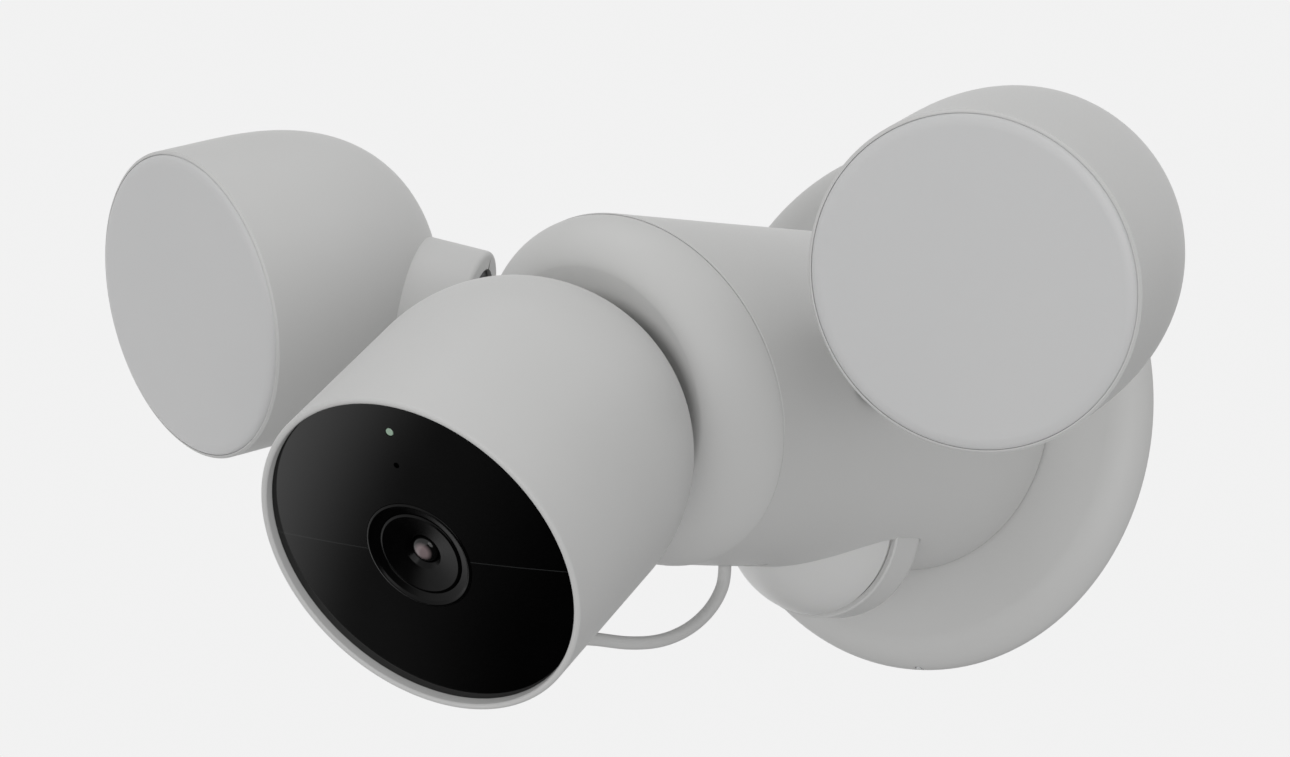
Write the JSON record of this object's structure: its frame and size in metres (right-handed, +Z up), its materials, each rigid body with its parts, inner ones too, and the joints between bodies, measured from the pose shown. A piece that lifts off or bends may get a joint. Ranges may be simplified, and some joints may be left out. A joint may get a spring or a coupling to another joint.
{
  "type": "floodlight security camera",
  "caption": "Wall-mounted security camera: a round head held by a magnet on a dished barrel, ball-jointed floodlights at its sides and a motion sensor below.",
  "frame": {"origin": "centre of the wall bracket's back face, where it lies on the wall", "axes": "+Y into the wall, +Z up, +X to the right for someone who faces the wall; the barrel points along -Y"},
  "size_m": [0.3004, 0.2274, 0.1391],
  "materials": {
    "white_shell": "fine moulded matt texture, pale warm grey",
    "frosted_cover": "frosted diffusing polycarbonate",
    "sensor_film": "smooth translucent infrared lens film",
    "black_glass": "glossy black cover glass",
    "dark_gloss": "glossy black moulding",
    "lens_glass": "coated lens glass",
    "dark_plastic": "dark grey moulding",
    "white_plastic": "white moulding",
    "zinc_steel": "zinc plated sheet",
    "screw_steel": "plated steel",
    "magnet_nickel": "nickel plated magnet",
    "heat_aluminium": "cast aluminium",
    "circuit_board": "green solder mask",
    "copper_winding": "varnished copper winding",
    "black_rubber": "soft sealing rubber",
    "grey_rubber": "grey sealing rubber",
    "cable_jacket": "smooth pale grey cable jacket",
    "status_green": "small green light pipe"
  },
  "bodies": {
    "root": {"wall_bracket": "zinc_steel", "wall_gasket": "black_rubber", "base_plate": "white_shell", "retaining_screw": "screw_steel", "barrel_shell": "white_shell", "barrel_screw_1": "screw_steel", "barrel_screw_2": "screw_steel", "barrel_screw_3": "screw_steel", "front_cap": "white_shell", "front_bulkhead": "dark_plastic", "seat_magnet": "magnet_nickel", "power_board": "circuit_board", "transformer": "copper_winding", "bulk_capacitor": "dark_plastic", "lamp_driver": "heat_aluminium", "terminal_block": "white_plastic", "cable_grommet": "grey_rubber", "camera_cable": "cable_jacket", "sensor_collar": "white_shell", "sensor_lens": "sensor_film", "sensor_board": "circuit_board", "sensor_element": "screw_steel", "left_ball_stud": "dark_plastic", "left_arm": "white_shell", "right_ball_stud": "dark_plastic", "right_arm": "white_shell"},
    "left_swivel": {"left_socket": "dark_plastic"},
    "left_lamp": {"left_lamp_housing": "white_shell", "left_lens_cover": "frosted_cover", "left_lens_seal": "black_rubber", "left_reflector": "white_plastic", "left_led_board": "white_plastic", "left_heat_sink": "heat_aluminium"},
    "right_swivel": {"right_socket": "dark_plastic"},
    "right_lamp": {"right_lamp_housing": "white_shell", "right_lens_cover": "frosted_cover", "right_lens_seal": "black_rubber", "right_reflector": "white_plastic", "right_led_board": "white_plastic", "right_heat_sink": "heat_aluminium"},
    "head_seat": {"glide_pad": "dark_plastic"},
    "camera_head": {"head_shell": "white_shell", "front_glass": "black_glass", "front_chassis": "dark_plastic", "status_light": "status_green", "microphone": "screw_steel", "infrared_led_left": "dark_plastic", "infrared_led_right": "dark_plastic", "lens_ring": "dark_gloss", "lens_funnel": "dark_gloss", "camera_lens": "lens_glass", "lens_barrel": "dark_plastic", "image_sensor_board": "circuit_board", "main_board": "circuit_board", "battery_pack": "dark_plastic", "speaker_unit": "dark_plastic", "rear_plate": "zinc_steel", "cable_plug": "cable_jacket", "cable_socket": "dark_plastic"},
    "reset_key": {"reset_button": "grey_rubber"}
  },
  "joints": [
    {"name": "left_pan", "type": "hinge", "parent": "root", "child": "left_swivel", "pos_m": [-0.06957, -0.10246, 0.01888], "axis": [0, 0, 1], "range_deg": [-20, 18]},
    {"name": "left_tilt", "type": "hinge", "parent": "left_swivel", "child": "left_lamp", "pos_m": [-0.06957, -0.10246, 0.01888], "axis": [0.8673, 0.4366, -0.2391], "range_deg": [-30, 30]},
    {"name": "right_pan", "type": "hinge", "parent": "root", "child": "right_swivel", "pos_m": [0.06957, -0.10246, 0.01888], "axis": [0, 0, 1], "range_deg": [-10, 28]},
    {"name": "right_tilt", "type": "hinge", "parent": "right_swivel", "child": "right_lamp", "pos_m": [0.06957, -0.10246, 0.01888], "axis": [0.8055, -0.537, 0.2506], "range_deg": [-30, 30]},
    {"name": "head_pan", "type": "hinge", "parent": "root", "child": "head_seat", "pos_m": [0, -0.16992, -0.01588], "axis": [0, -0.3633, 0.9317], "range_deg": [-20, 20], "deforming": ["camera_cable"]},
    {"name": "head_tilt", "type": "hinge", "parent": "head_seat", "child": "camera_head", "pos_m": [0, -0.16992, -0.01588], "axis": [1, 0, 0], "range_deg": [-25, 12], "deforming": ["camera_cable"]},
    {"name": "reset_press", "type": "slide", "parent": "camera_head", "child": "reset_key", "axis": [0.132, -0.8871, 0.4424], "range_m": [0, 0.0006], "stiffness_N_per_m": 800}
  ]
}
